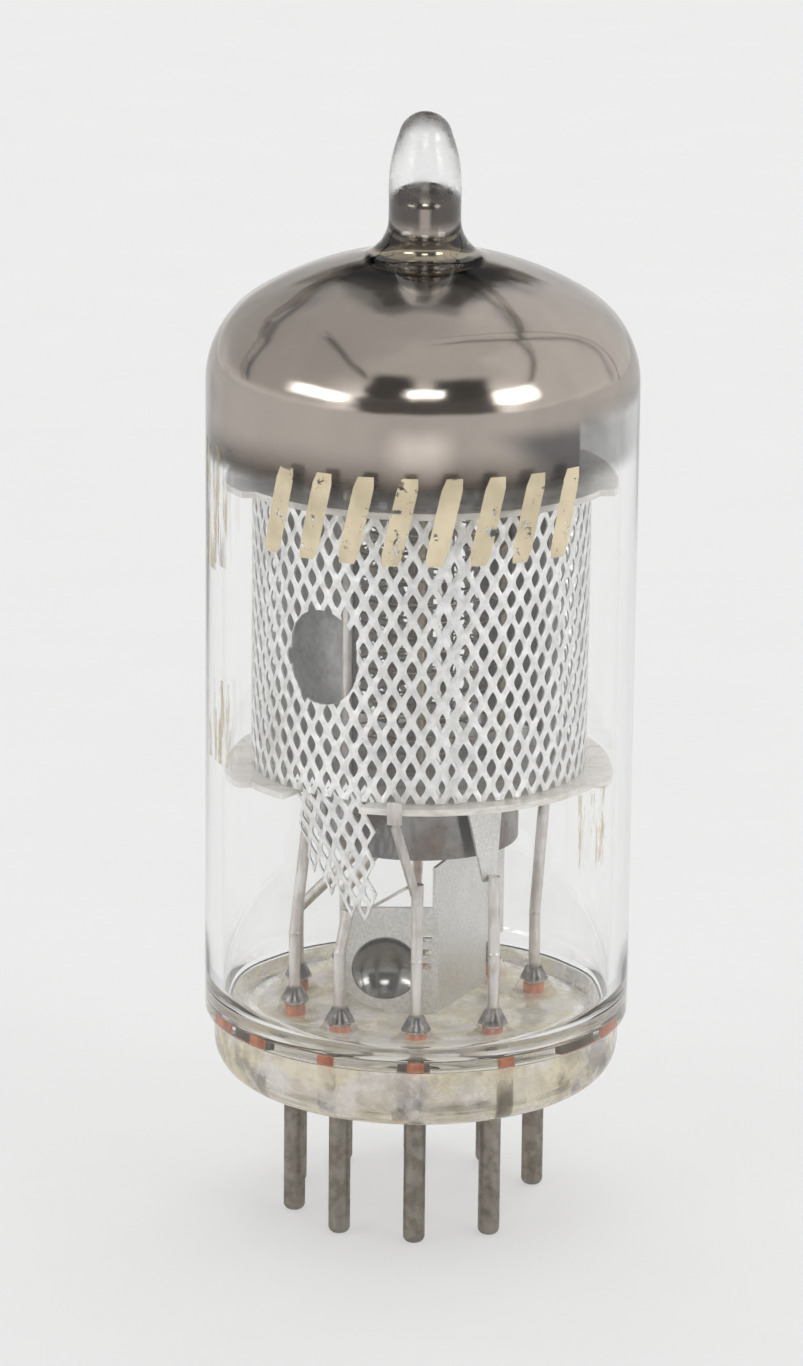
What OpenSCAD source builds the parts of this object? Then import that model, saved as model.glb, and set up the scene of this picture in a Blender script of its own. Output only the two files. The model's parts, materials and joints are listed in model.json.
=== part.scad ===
// Miniature nine-pin vacuum tube: a small-signal pentode with a cylindrical mesh screen.
// Millimetres. +Z is up, the pin tips are at z = 0 and the tube's axis is the Z axis.
// Angles round the tube are counted from the front, -Y, towards the right, +X.

/* [Glass] */
// overall height, pin tips to exhaust tip
total_h = 52.1; // [42:0.1:63]
// outside radius of the bulb
bulb_r = 9.95; // [8.3:0.05:12]
// bulb wall
wall = 0.8; // [0.6:0.05:1.1]
// height of the dome above the straight wall
dome_h = 6.1; // [5:0.1:7.4]
// radius of the dome's shoulder
shoulder_r = 4.6; // [3.8:0.1:5.4]
// radius of the exhaust tip
tip_r = 1.65; // [1.3:0.05:2]
// radius of the exhaust tip's rounded end
tip_end_r = 1.05; // [0.8:0.05:1.3]
// radius of the open bore in the exhaust tip
tip_bore = 1.1; // [0.7:0.05:1.2]

/* [Base] */
// length of the pins below the glass
pin_out = 6.5; // [5.4:0.1:7.8]
// thickness of the button
button_h = 3.1; // [2.6:0.1:3.7]
// how far the button is stepped in from the bulb
button_step = 0.45; // [0.35:0.05:0.6]
// rounding of the button's lower edge
button_round = 1.8; // [1.4:0.1:2.2]
// height of the glass bead round a lead
bead_h = 2; // [1.6:0.1:2.4]
// radius of the pin circle
pin_circle = 5.945; // [5.7:0.005:6.2]
// pin radius
pin_r = 0.508; // [0.45:0.001:0.6]

/* [Micas] */
// height of the top face of the bottom mica
low_mica_z = 21.85; // [19:0.1:24]
// height of the screen between the micas
screen_h = 13.4; // [11:0.1:16]
// mica thickness
mica_t = 0.3; // [0.25:0.01:0.4]
// gap between the mica points and the glass
mica_gap = 0.1; // [0.08:0.01:0.14]

/* [Screen] */
// gap between the mesh screen and the glass
screen_gap = 1.3; // [1.05:0.05:1.6]
// sheet thickness of the mesh screen
screen_t = 0.2; // [0.17:0.01:0.24]
// width of the sight window
window_w = 3.5; // [2.9:0.1:4.2]
// height of the sight window
window_h = 4.4; // [3.7:0.1:5.2]
// angle of the sight window, from the front
window_at = -34; // [-40:1:-28]
// angle of the lapped seam, from the front
seam_at = 11; // [9:1:13]

/* [Electrodes] */
// gap between the mesh screen and the middle of the anode plates
anode_gap = 1.36; // [1.1:0.02:1.65]
// anode plate thickness
anode_t = 0.2; // [0.17:0.01:0.24]
// angle covered by each anode plate
anode_arc = 90; // [76:1:108]
// outside radius of the cathode sleeve
cathode_r = 0.6; // [0.5:0.01:0.7]
// radius of grid 1
grid_1_r = 1.25; // [1.1:0.01:1.4]
// radius of grid 2
grid_2_r = 2.4; // [2.1:0.05:2.7]
// radius of grid 3
grid_3_r = 3.9; // [3.5:0.05:4.3]

/* [Node] */
// the sub-part to draw, or all

/* [Hidden] */
$fn = 64;

eps = 0.01;
// sunk is how far one piece of a fused node runs into the next
sunk = 0.05;

// glass: heights of the joins, bottom to top
seat_z = pin_out;
floor_z = seat_z + button_h;
bead_z = floor_z + bead_h;
tip_h = 6.25;
dome_z = total_h - tip_h;
straight_z = dome_z - dome_h;
bore_r = bulb_r - wall;
shoulder_x = bulb_r - shoulder_r;
// crown radius of the dome, from tangency with the shoulder arc
crown_r = (shoulder_x * shoulder_x + dome_h * dome_h - shoulder_r * shoulder_r)
    / (2 * (dome_h - shoulder_r));
crown_z = dome_z - crown_r;
foot_r = bulb_r - 0.15;
lip_r = 0.3;
button_r = bulb_r - button_step;
// exhaust tip
neck_fillet = 1.7;
neck_z = crown_z + sqrt(pow(crown_r, 2) - pow(tip_r + neck_fillet, 2));
cap_z = total_h - tip_end_r;
bore_top = total_h - 3.2;
cone_z = total_h - 3;

// getter film
film_t = 0.06;
film_z = low_mica_z + screen_h + 0.95;

// pins, seals and leads
pin_end_r = 0.3;
pin_neck = button_h - 1.2;
seal_r = 0.34;
seal_top = bead_z - 1.45;
lead_r = 0.27;
bead_r = 0.55;
bead_foot_r = 1.25;
bead_gap = 0.05;
// the fillet inside the foot of the bulb ends at the beads
foot_fillet = bore_r - pin_circle - bead_foot_r - bead_gap;
pin_angle = [for (i = [0 : 8]) 108 + 36 * i];

// screen and anode radii, from the glass inwards
screen_r = bore_r - screen_gap;
anode_r = screen_r - screen_t - anode_gap;

// micas
low_z = low_mica_z - mica_t;
high_z = low_mica_z + screen_h;
high_top = high_z + mica_t;
mica_reach = bore_r - mica_gap;
mica_rim = 0.75;
mica_r = screen_r + mica_rim;
point_w = 8.2;
hole_gap = 0.02;

// electrodes
anode_z0 = low_mica_z + 0.6;
anode_z1 = high_z - 0.6;
rod_r = 0.23;
rod_at = anode_r + anode_t / 2 + rod_r;
rod_low = low_z - 0.9;
rod_high = high_top + 0.7;
cathode_low = low_z - 1.1;
cathode_high = high_top + 1.3;
grid_wire = 0.05;
side_r = 0.3;
side_low = low_z - 1.2;
side_high = high_top + 1.1;

function at(r, a, z) = [r * sin(a), -r * cos(a), z];
function foot(n) = at(pin_circle, pin_angle[n - 1], seal_top);
function above(n, z) = at(pin_circle, pin_angle[n - 1], z);

module placed(r, a, z = 0) {
    rotate([0, 0, a]) translate([0, -r, z]) children();
}

// straight round wire from p to q
module wire(p, q, r) {
    d = q - p;
    len = norm(d);
    translate(p)
        rotate([0, acos(d[2] / len), atan2(d[1], d[0])])
            cylinder(h = len, r = r);
}

// point a distance d from p towards q
function toward(p, q, d) = p + (q - p) * d / norm(q - p);

// round wire through a list of points, with a ball in each bend that is a touch fuller than the wire
module bent_wire(points, r) {
    last = len(points) - 1;
    for (i = [0 : last - 1]) {
        p = points[i];
        q = points[i + 1];
        wire(
            i == 0 ? p : toward(p, q, r * 0.35),
            i == last - 1 ? q : toward(q, p, r * 0.35),
            r
        );
    }
    for (i = [1 : last - 1]) translate(points[i]) sphere(r = r * 1.03);
}

// outline of the domed bulb, d inside the outer surface, from the foot up
module bulb_outline(d) {
    intersection() {
        union() {
            translate([0, floor_z - 5]) square([bulb_r - d, straight_z - floor_z + 5]);
            translate([shoulder_x, straight_z]) circle(r = shoulder_r - d);
            intersection() {
                translate([0, crown_z]) circle(r = crown_r - d);
                polygon([
                    [0, crown_z],
                    [shoulder_x * 3, crown_z + (straight_z - crown_z) * 3],
                    [0, crown_z + (straight_z - crown_z) * 3 + shoulder_x * 3]
                ]);
            }
        }
        translate([0, floor_z - 5]) square([bulb_r * 2, total_h]);
    }
}

module glass_envelope() {
    color([0.93, 0.95, 0.94, 0.35]) rotate_extrude() {
        difference() {
            bulb_outline(0);
            difference() {
                bulb_outline(wall);
                // fillet between the wall and the foot
                difference() {
                    translate([bore_r - foot_fillet, floor_z])
                        square([foot_fillet + sunk, foot_fillet]);
                    translate([bore_r - foot_fillet, floor_z + foot_fillet]) circle(r = foot_fillet);
                }
            }
            translate([0, 0]) square([bulb_r * 2, floor_z]);
            // rounded lip at the seal
            translate([foot_r, floor_z - eps]) square([bulb_r, lip_r + eps]);
            // hole under the exhaust tip
            translate([0, total_h / 2]) square([tip_bore, total_h]);
        }
    }
}

module exhaust_tip() {
    color([0.93, 0.95, 0.94, 0.35]) rotate_extrude() {
        difference() {
            union() {
                intersection() {
                    translate([0, cap_z]) circle(r = tip_end_r);
                    translate([0, cap_z - 1]) square([tip_end_r * 2, tip_end_r * 2]);
                }
                polygon([
                    [0, dome_z - 2], [tip_r, dome_z - 2], [tip_r, cone_z],
                    [tip_end_r, cap_z], [0, cap_z]
                ]);
                difference() {
                    translate([tip_r - sunk, dome_z - 2])
                        square([neck_fillet * 0.8 + sunk, neck_z + neck_fillet - dome_z + 2]);
                    translate([tip_r + neck_fillet, neck_z + neck_fillet]) circle(r = neck_fillet);
                }
            }
            bulb_outline(0);
            translate([0, dome_z - 2]) square([tip_bore, bore_top - dome_z + 2]);
        }
    }
}

module glass_base() {
    color([0.9, 0.93, 0.9, 0.35]) difference() {
        union() {
            rotate_extrude() {
                translate([0, seat_z]) square([button_r - button_round, button_h]);
                translate([0, seat_z + button_round]) square([button_r, button_h - button_round]);
                intersection() {
                    translate([button_r - button_round, seat_z + button_round])
                        circle(r = button_round);
                    translate([0, seat_z - 1]) square([button_r * 2, button_h + 1]);
                }
            }
            for (a = pin_angle) {
                placed(pin_circle, a, floor_z - sunk)
                    cylinder(h = bead_h + sunk, r1 = bead_foot_r, r2 = bead_r);
            }
        }
        for (a = pin_angle) {
            placed(pin_circle, a, seat_z - 1) cylinder(h = seal_top - seat_z + 1, r = seal_r);
            placed(pin_circle, a, seal_top - eps) cylinder(h = bead_h, r = lead_r);
        }
    }
}

module pin(n) {
    color([0.42, 0.39, 0.36]) placed(pin_circle, pin_angle[n - 1]) rotate_extrude() {
        translate([0, pin_end_r]) square([pin_r, seat_z - pin_end_r]);
        translate([0, seat_z - eps]) square([seal_r, pin_neck + eps]);
        square([pin_r - pin_end_r, pin_end_r + eps]);
        intersection() {
            translate([pin_r - pin_end_r, pin_end_r]) circle(r = pin_end_r);
            square([pin_r, pin_end_r + eps]);
        }
    }
}

module seal(n) {
    color([0.75, 0.25, 0.15]) placed(pin_circle, pin_angle[n - 1], seat_z + pin_neck)
        cylinder(h = seal_top - seat_z - pin_neck, r = seal_r);
}

tab_low = floor_z + 7.6;
tab_h = low_z - tab_low - 0.02;

// ends of the inner leads: the height where each one leaves the vertical, then where it goes
lead_knee = floor_z + 4.2;
lead_end_z = low_z - 0.9;
lead_ends = [
    at(pin_circle + 0.4, 105, low_z - 0.02),
    at(pin_circle - 0.1, 144, floor_z + 5.6),
    at(cathode_r + 2.2, 176, lead_end_z - 0.4),
    at(0.95, 200, lead_end_z - 1.6),
    at(1.15, 285, lead_end_z - 1.6),
    at(pin_circle - 0.8, 288, lead_end_z + 0.3),
    at(pin_circle - 0.35, 326, floor_z + 6.2),
    at(pin_circle, 0, floor_z + 7.9),
    at(pin_circle - 0.2, 37, tab_low + 0.3)
];

module lead(n) {
    color([0.6, 0.57, 0.53])
        bent_wire([foot(n), above(n, lead_knee), lead_ends[n - 1]], lead_r);
}

module getter_film() {
    color([0.45, 0.42, 0.4]) rotate_extrude() {
        intersection() {
            difference() {
                bulb_outline(wall);
                bulb_outline(wall + film_t);
                translate([0, total_h / 2]) square([tip_bore, total_h]);
            }
            translate([0, film_z]) square([bulb_r, total_h]);
        }
        // the same mirror runs on up the bore of the exhaust tip
        translate([tip_bore - film_t, dome_z - wall - 0.5])
            square([film_t, bore_top - dome_z + wall + 0.5]);
    }
}

getter_r = 3.3;
getter_at = 90;
getter_z = high_top + 3.4;
channel_r = 0.55;
post_r = 0.2;

module getter_ring() {
    color([0.35, 0.34, 0.34]) translate([0, 0, getter_z]) rotate_extrude() {
        difference() {
            translate([getter_r, 0]) circle(r = channel_r);
            translate([getter_r, channel_r * 0.6]) circle(r = channel_r * 0.75);
        }
    }
}

module getter_post() {
    color([0.6, 0.58, 0.55]) placed(getter_r, getter_at, high_z - 0.4)
        cylinder(h = getter_z - channel_r - high_z + 0.4, r = post_r);
}

// mica disc with a bearing point at each side, and holes for all that passes through it
module mica(turn) {
    difference() {
        intersection() {
            union() {
                cylinder(h = mica_t, r = mica_r);
                rotate([0, 0, turn]) translate([-mica_reach, -point_w / 2, 0])
                    cube([mica_reach * 2, point_w, mica_t]);
            }
            cylinder(h = mica_t * 3, r = mica_reach, center = true);
        }
        translate([0, 0, -1]) cylinder(h = 3, r = cathode_r + hole_gap);
        for (g = grid_sides) {
            translate([g[0] * cos(g[1]), g[0] * sin(g[1]), -1]) cylinder(h = 3, r = side_r + hole_gap);
        }
        for (a = rod_angles) {
            placed(rod_at, a, -1) cylinder(h = 3, r = rod_r + hole_gap);
        }
    }
}

grid_sides = [
    [grid_1_r, 0], [grid_1_r, 180], [grid_2_r, 90], [grid_2_r, 270], [grid_3_r, 0], [grid_3_r, 180]
];
// an anode plate ends just past the rod it is welded to
rod_turn = 4.7;
plate_lap = 2.5;
plate_turn = plate_lap - anode_arc / 2;
rod_angles = [window_at + rod_turn, window_at + rod_turn + 180];

module top_mica() {
    color([0.86, 0.84, 0.8, 0.8]) translate([0, 0, high_z]) difference() {
        mica(4);
        placed(getter_r, getter_at, -1) cylinder(h = 3, r = post_r + hole_gap);
    }
}

module bottom_mica() {
    color([0.86, 0.84, 0.8, 0.8]) translate([0, 0, low_z]) difference() {
        mica(2);
        // notch for the screen's tongue
        placed(screen_r - 1, tongue_at, -1) translate([-tongue_w / 2 - 0.1, -3, 0])
            cube([tongue_w + 0.2, 3, 3]);
    }
}

// mesh screen: the rolled sheet, its lapped seam, window, locking tooth and hanging tongue
seam_w = 0.9;
tongue_w = 3.7;
tongue_at = -31;
// the tongue leans in from the screen to the lead it is welded to
tongue_top = low_mica_z + 0.3;
tongue_foot = floor_z + 6.2;
tongue_in = screen_r - screen_t - pin_circle - lead_r;
tongue_lean = atan2(tongue_in, tongue_top - tongue_foot);
tongue_h = norm([tongue_in, tongue_top - tongue_foot]);

module mesh_screen() {
    color([0.72, 0.73, 0.74]) {
        difference() {
            translate([0, 0, low_mica_z]) cylinder(h = screen_h, r = screen_r);
            translate([0, 0, low_mica_z - 1]) cylinder(h = screen_h + 2, r = screen_r - screen_t);
            placed(0, window_at, low_mica_z + screen_h / 2 - 0.2) rotate([90, 0, 0]) {
                for (s = [-1, 1]) {
                    translate([0, s * (window_h - window_w) / 2, 0])
                        cylinder(h = screen_r * 2, r = window_w / 2);
                }
                translate([-window_w / 2, (window_w - window_h) / 2, 0])
                    cube([window_w, window_h - window_w, screen_r * 2]);
            }
        }
        placed(screen_r, seam_at, low_mica_z)
            translate([-seam_w / 2, -0.04, 0]) cube([seam_w, screen_t, screen_h]);
        // tongue, bent inwards to the lead it is welded to
        placed(screen_r, tongue_at, tongue_top) rotate([tongue_lean, 0, 0])
            translate([0, screen_t, 0]) rotate([90, 0, 0])
                linear_extrude(screen_t) polygon([
                    [-tongue_w / 2, 0], [tongue_w / 2, 0],
                    [tongue_w * 0.5, -tongue_h * 0.85], [tongue_w * 0.42, -tongue_h],
                    [tongue_w * 0.1, -tongue_h * 0.93], [-tongue_w * 0.46, -tongue_h * 0.76]
                ]);
    }
}

// base screen: sheet standing on the button, with a folded lug that has a round dished cup
sheet_t = 0.15;
ridge = [0.84, -1.5];
wing_h = 7.3;
wing_rise = 0.65;
// the wing runs from the fold past the lead it is welded to
weld_lead = at(pin_circle, pin_angle[1], 0) - [ridge[0], ridge[1], 0];
wing_reach = norm(weld_lead);
wing_at = atan2(weld_lead[1], weld_lead[0]) - asin((lead_r * 1.15 + sheet_t) / wing_reach);
wing_w = wing_reach + 0.75;
lug_r = 2.05;
cup_r = 1.5;
cup_depth = 0.6;
// radius of the sphere the cup is a part of
dish_r = (cup_r * cup_r + cup_depth * cup_depth) / (2 * cup_depth);
lug_x = -2.3;
lug_z = 2.35;
lug_h = 5.35;
notch_w = 0.45;
notch_h = 0.3;

module base_screen() {
    color([0.7, 0.7, 0.69]) translate([ridge[0], ridge[1], floor_z]) {
        difference() {
            rotate([0, 0, wing_at]) translate([0, sheet_t, 0]) rotate([90, 0, 0])
                linear_extrude(sheet_t)
                    polygon([[0, 0], [wing_w, 0], [wing_w, wing_h + wing_rise], [0, wing_h]]);
            // notch over the glass bead
            translate([weld_lead[0], weld_lead[1], -1])
                cylinder(h = bead_h + 1 + bead_gap, r = bead_foot_r + bead_gap);
        }
        difference() {
            union() {
                translate([lug_x, 0, 0]) cube([-lug_x + sheet_t, sheet_t, lug_h]);
                translate([lug_x - lug_r, 0, lug_z]) cube([lug_r * 1.5, sheet_t, lug_h - lug_z]);
                translate([lug_x, sheet_t, lug_z]) rotate([90, 0, 0]) cylinder(h = sheet_t, r = lug_r);
                difference() {
                    translate([lug_x, cup_depth - dish_r, lug_z]) sphere(r = dish_r + sheet_t);
                    translate([lug_x - 4, sheet_t / 2 - 8, lug_z - 4]) cube([8, 8, 8]);
                }
            }
            translate([lug_x, cup_depth - dish_r, lug_z]) sphere(r = dish_r);
            // three slots beside the fold
            for (i = [0 : 2]) {
                translate([-sheet_t - notch_w, -1, lug_z + i * notch_h * 2.2]) cube([notch_w, 2, notch_h]);
            }
        }
    }
}

// dark cup under the bottom mica that screens the cathode and heater ends
shield_r = grid_3_r + side_r + 0.5;
shield_h = 3.3;
shield_t = 0.2;

module lower_shield() {
    color([0.2, 0.2, 0.21]) difference() {
        translate([0, 0, low_z - shield_h]) cylinder(h = shield_h - eps, r = shield_r);
        translate([0, 0, low_z - shield_h - 1])
            cylinder(h = shield_h + 1 - shield_t, r = shield_r - shield_t);
        translate([0, 0, low_z - 1]) cylinder(h = 2, r = cathode_r + 0.3);
        for (g = grid_sides) {
            translate([g[0] * cos(g[1]), g[0] * sin(g[1]), low_z - 1])
                cylinder(h = 2, r = side_r + 0.1);
        }
    }
}

module anode_plate(a) {
    color([0.27, 0.27, 0.28]) rotate([0, 0, a - 90 - anode_arc / 2])
        translate([0, 0, anode_z0]) rotate_extrude(angle = anode_arc)
            translate([anode_r - anode_t / 2, 0]) square([anode_t, anode_z1 - anode_z0]);
}

module anode_rod(a) {
    color([0.66, 0.64, 0.6]) placed(rod_at, a, rod_low) cylinder(h = rod_high - rod_low, r = rod_r);
}

module cathode_sleeve() {
    color([0.8, 0.78, 0.74]) difference() {
        translate([0, 0, cathode_low]) cylinder(h = cathode_high - cathode_low, r = cathode_r);
        translate([0, 0, cathode_low - 1])
            cylinder(h = cathode_high - cathode_low + 2, r = cathode_r - 0.08);
    }
}

heater_r = 0.12;
heater_x = 0.22;

module heater() {
    top = cathode_high - 0.6;
    color([0.9, 0.89, 0.86]) {
        translate([0, 0, top]) rotate([90, 0, 0]) rotate_extrude(angle = 180)
            translate([heater_x, 0]) circle(r = heater_r);
        for (s = [-1, 1]) {
            bent_wire([
                [s * heater_x, 0, top],
                [s * heater_x, 0, cathode_low - 0.5],
                toward(
                    lead_ends[s > 0 ? 3 : 4],
                    [s * heater_x, 0, cathode_low - 0.5],
                    lead_r * 0.8
                )
            ], heater_r);
        }
    }
}

// grid: two side rods and closed turns of wire welded to them
module grid(r, a, turns) {
    z0 = low_mica_z + 0.8;
    step = (screen_h - 1.6) / (turns - 1);
    color([0.7, 0.66, 0.55]) {
        for (s = [0, 180]) {
            rotate([0, 0, a + s]) translate([r, 0, side_low])
                cylinder(h = side_high - side_low, r = side_r);
        }
        for (i = [0 : turns - 1]) {
            translate([0, 0, z0 + i * step]) rotate_extrude() translate([r, 0])
                circle(r = grid_wire, $fn = 16);
        }
    }
}

// ribbon between two points, edge on to the glass
module ribbon(p, q, w, t, spin) {
    d = q - p;
    translate(p) rotate([0, acos(d[2] / norm(d)), atan2(d[1], d[0])])
        rotate([0, 0, spin]) translate([-w / 2, -t / 2, 0]) cube([w, t, norm(d)]);
}

ribbon_w = 0.65;
ribbon_t = 0.12;
ribbon_fold = at(mica_r + 0.1, -7, low_z - 0.35);

module grid_3_ribbon() {
    color([0.82, 0.78, 0.74]) {
        ribbon(lead_ends[7] + [-0.15, -lead_r - ribbon_t * 1.5, -0.2], ribbon_fold, ribbon_w, ribbon_t, 0);
        placed(mica_r + 0.1, -7, low_z - 0.4) translate([-ribbon_w / 2, -ribbon_t / 2, 0])
            cube([ribbon_w, ribbon_t, mica_t + 0.75]);
    }
}

module screen_strap() {
    color([0.7, 0.67, 0.6]) ribbon(
        above(8, lead_ends[7][2] - 0.1) + [-lead_r - 0.1, 0, 0],
        at(pin_circle - 0.3, -21, floor_z + 6.6), 0.6, ribbon_t, 90
    );
}

module grid_1_tab() {
    color([0.66, 0.66, 0.65])
        placed(pin_circle - 0.2 - lead_r * 1.1 - sheet_t, 37, tab_low) rotate([90, 0, 0])
            linear_extrude(sheet_t)
                polygon([[-0.35, 0], [0.35, 0], [0.7, tab_h], [-1.5, tab_h]]);
}

glass_envelope();
exhaust_tip();
glass_base();
for (n = [1 : 9]) {
    pin(n);
    seal(n);
    lead(n);
}
getter_film();
getter_ring();
getter_post();
top_mica();
bottom_mica();
mesh_screen();
base_screen();
lower_shield();
anode_plate(rod_angles[0] + plate_turn);  // anode_plate_1
anode_plate(rod_angles[1] + plate_turn);  // anode_plate_2
anode_rod(rod_angles[0]);  // anode_rod_1
anode_rod(rod_angles[1]);  // anode_rod_2
cathode_sleeve();
heater();
grid(grid_1_r, 0, 24);  // grid_1
grid(grid_2_r, 90, 18);  // grid_2
grid(grid_3_r, 0, 12);  // grid_3
grid_3_ribbon();
screen_strap();
grid_1_tab();
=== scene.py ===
"""Visual model of a miniature nine-pin vacuum tube: glass, mesh screen, getter mirror, mark and finishes.

Lengths in the code are metres, and mm() turns millimetres into metres. Angles round the tube are counted
from the front, -Y, towards the right, +X.
"""

import json
import math
import random

import bmesh
import bpy
from bpy.props import FloatProperty, FloatVectorProperty, IntProperty, PointerProperty
from bpy.types import Operator, Panel, PropertyGroup
from mathutils import Matrix, Vector


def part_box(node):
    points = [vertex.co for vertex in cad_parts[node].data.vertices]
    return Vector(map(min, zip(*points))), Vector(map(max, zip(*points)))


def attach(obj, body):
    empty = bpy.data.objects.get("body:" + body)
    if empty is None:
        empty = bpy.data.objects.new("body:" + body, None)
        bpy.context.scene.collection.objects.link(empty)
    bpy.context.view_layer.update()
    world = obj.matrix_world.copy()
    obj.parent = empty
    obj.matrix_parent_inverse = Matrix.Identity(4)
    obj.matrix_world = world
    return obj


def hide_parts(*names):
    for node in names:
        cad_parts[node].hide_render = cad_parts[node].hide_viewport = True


bl_info = {
    "name": "Miniature vacuum tube",
    "version": (1, 0, 0),
    "blender": (4, 5, 0),
    "location": "3D View > Sidebar > Tube",
    "description": "Builds the glass, mesh screen, getter mirror and finishes of a nine-pin vacuum tube",
    "category": "Add Mesh",
}

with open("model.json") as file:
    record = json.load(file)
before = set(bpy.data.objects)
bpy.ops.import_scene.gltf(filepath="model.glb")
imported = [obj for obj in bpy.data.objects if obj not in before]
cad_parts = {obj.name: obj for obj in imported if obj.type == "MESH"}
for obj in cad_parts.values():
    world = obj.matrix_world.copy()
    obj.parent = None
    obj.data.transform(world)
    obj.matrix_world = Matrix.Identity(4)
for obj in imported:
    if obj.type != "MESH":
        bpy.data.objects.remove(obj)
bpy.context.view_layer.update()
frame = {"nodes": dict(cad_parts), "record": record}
PINS = 9


def mm(value):
    return value * 0.001


def low(node):
    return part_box(node)[0]


def high(node):
    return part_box(node)[1]


# the heights and radii that every piece is built to, read from the frame
TOP = high("exhaust_tip").z
SEAT = low("glass_base").z
FLOOR = low("glass_envelope").z
BULB_R = high("glass_envelope").x
BUTTON_R = high("glass_base").x
BEAD_TOP = high("glass_base").z
MICA_LOW = high("bottom_mica").z
MICA_HIGH = low("top_mica").z
FILM_LOW = low("getter_film").z
BORE_TOP = high("getter_film").z
TIP_HEIGHT = mm(6.25)
CROWN = TOP - TIP_HEIGHT


def node_centre(node):
    return (low(node) + high(node)) / 2


PIN_CIRCLE = node_centre("pin_1").xy.length
PIN_R = (high("pin_1").x - low("pin_1").x) / 2
LEAD_R = mm(0.27)

# thickness of the films on the base glass, and how far the deposit runs up to the fillet in the bulb's foot
SKIN = mm(0.012)
FILLET_REACH = mm(0.3)

# the skirt of glass that creeps down each pin
CREEP_WIDTH = mm(0.55)
CREEP_DEPTH = mm(0.45)


def around(radius, degrees, z=0.0):
    """Point at an angle round the tube."""
    a = math.radians(degrees)
    return Vector((radius * math.sin(a), -radius * math.cos(a), z))


def pin_degrees(n):
    return 108 + 36 * (n - 1)


# ---------------------------------------------------------------- settings


def length(name, description, default):
    return FloatProperty(name=name, description=description, default=default, unit="LENGTH", precision=5)


def angle(name, description, default):
    return FloatProperty(name=name, description=description + ", in degrees", default=default)


def share(name, description, default, top=1.0):
    return FloatProperty(name=name, description=description, default=default, min=0.0, max=top)


def colour(name, description, default):
    return FloatVectorProperty(
        name=name, description=description, default=default, size=3, subtype="COLOR", min=0.0, max=1.0
    )


class TubeGlassSettings(PropertyGroup):
    wall: length("Wall", "Thickness of the bulb wall", mm(0.8))
    dome_height: length("Dome height", "Height of the dome above the straight wall", mm(6.1))
    shoulder: length("Shoulder", "Radius of the dome's shoulder", mm(4.6))
    tip_height: length("Tip height", "Height of the exhaust tip above the dome", TIP_HEIGHT)
    tip_radius: length("Tip radius", "Radius of the exhaust tip", mm(1.65))
    tip_cone: length("Tip cone", "Height over which the exhaust tip widens to its full radius", mm(3.3))
    tip_bore: length("Tip bore", "Radius of the open bore in the exhaust tip", mm(1.1))
    neck_fillet: length("Neck fillet", "Radius between the dome and the exhaust tip", mm(1.7))
    mouth_fillet: length("Mouth fillet", "Radius where the bore opens into the dome", mm(1.2))
    bead_radius: length("Bead radius", "Radius of a lead's glass bead at its foot", mm(1.25))
    lip: length("Lip", "Rounding of the bulb's lower edge", mm(0.3))
    button_round: length("Button rounding", "Rounding of the button's lower edge", mm(1.8))
    bulb_tint: colour("Bulb tint", "Colour of the bulb glass", (0.985, 0.99, 0.985))
    base_tint: colour("Base tint", "Colour of the base glass", (0.97, 0.96, 0.93))
    base_stain: colour("Base stain", "Colour of the cloudy stains in the base glass", (0.80, 0.74, 0.58))
    turns: IntProperty(name="Turns", description="Faces round the glass", default=240, min=48)


class TubeMirrorSettings(PropertyGroup):
    contact: length("Contact", "How far the film is bonded into the glass", mm(0.05))
    film: length("Film", "Thickness of the mirror film", mm(0.03))
    fade: length("Fade", "Height over which the lower edge fades", mm(1.0))
    cut_degrees: angle("Cut", "Angle where the full mirror stops on the right", 46.5)
    cut_top: length("Cut top", "Height above which the mirror is whole all round", mm(39.4))
    silver: colour("Silver", "Colour of the mirror", (0.465, 0.408, 0.362))
    brown: colour("Brown", "Colour of its thin edge", (0.10, 0.07, 0.05))


class TubeScreenSettings(PropertyGroup):
    cell_width: length("Cell width", "Width of one mesh cell", mm(0.872))
    cell_height: length("Cell height", "Height of one mesh cell", mm(1.56))
    opening_width: length("Opening width", "Width of a mesh opening", mm(0.47))
    opening_height: length("Opening height", "Height of a mesh opening", mm(0.93))
    sheet: length("Sheet", "Thickness of the mesh sheet", mm(0.12))
    relief: length("Relief", "How far the strands are raised out of the sheet", mm(0.05))
    lap_low: angle("Lap start", "Angle where the seam's lap starts", 5.0)
    lap_high: angle("Lap end", "Angle where the seam's lap ends", 15.0)
    window_degrees: angle("Window angle", "Angle of the sight window", -34.0)
    window_width: length("Window width", "Width of the sight window", mm(3.5))
    window_height: length("Window height", "Height of the sight window", mm(4.4))
    tongue_width: length("Tongue width", "Width of the hanging tongue", mm(4.0))
    tongue_foot: length("Tongue foot", "Height of the tongue's lower end above the glass", mm(6.2))
    tongue_degrees: angle("Tongue angle", "Angle of the hanging tongue", -31.0)
    tongue_twist: angle("Tongue twist", "How far the tongue turns from the screen to its foot", -18.0)
    metal: colour("Mesh metal", "Colour of the mesh", (0.94, 0.935, 0.925))


class TubeMarkSettings(PropertyGroup):
    bars: IntProperty(name="Bars", description="Number of printed bars", default=8, min=1)
    bar_width: length("Bar width", "Width of one printed bar", mm(0.95))
    bar_height: length("Bar height", "Height of a printed bar", mm(4.0))
    pitch: length("Pitch", "Distance from one bar to the next", mm(1.98))
    centre_z: length("Centre height", "Height of the mark's middle", mm(35.4))
    lean: FloatProperty(name="Lean", description="How far the bars lean, as a slope", default=0.22)
    ink: colour("Ink", "Colour of the printed mark", (0.63, 0.54, 0.37))


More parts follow.
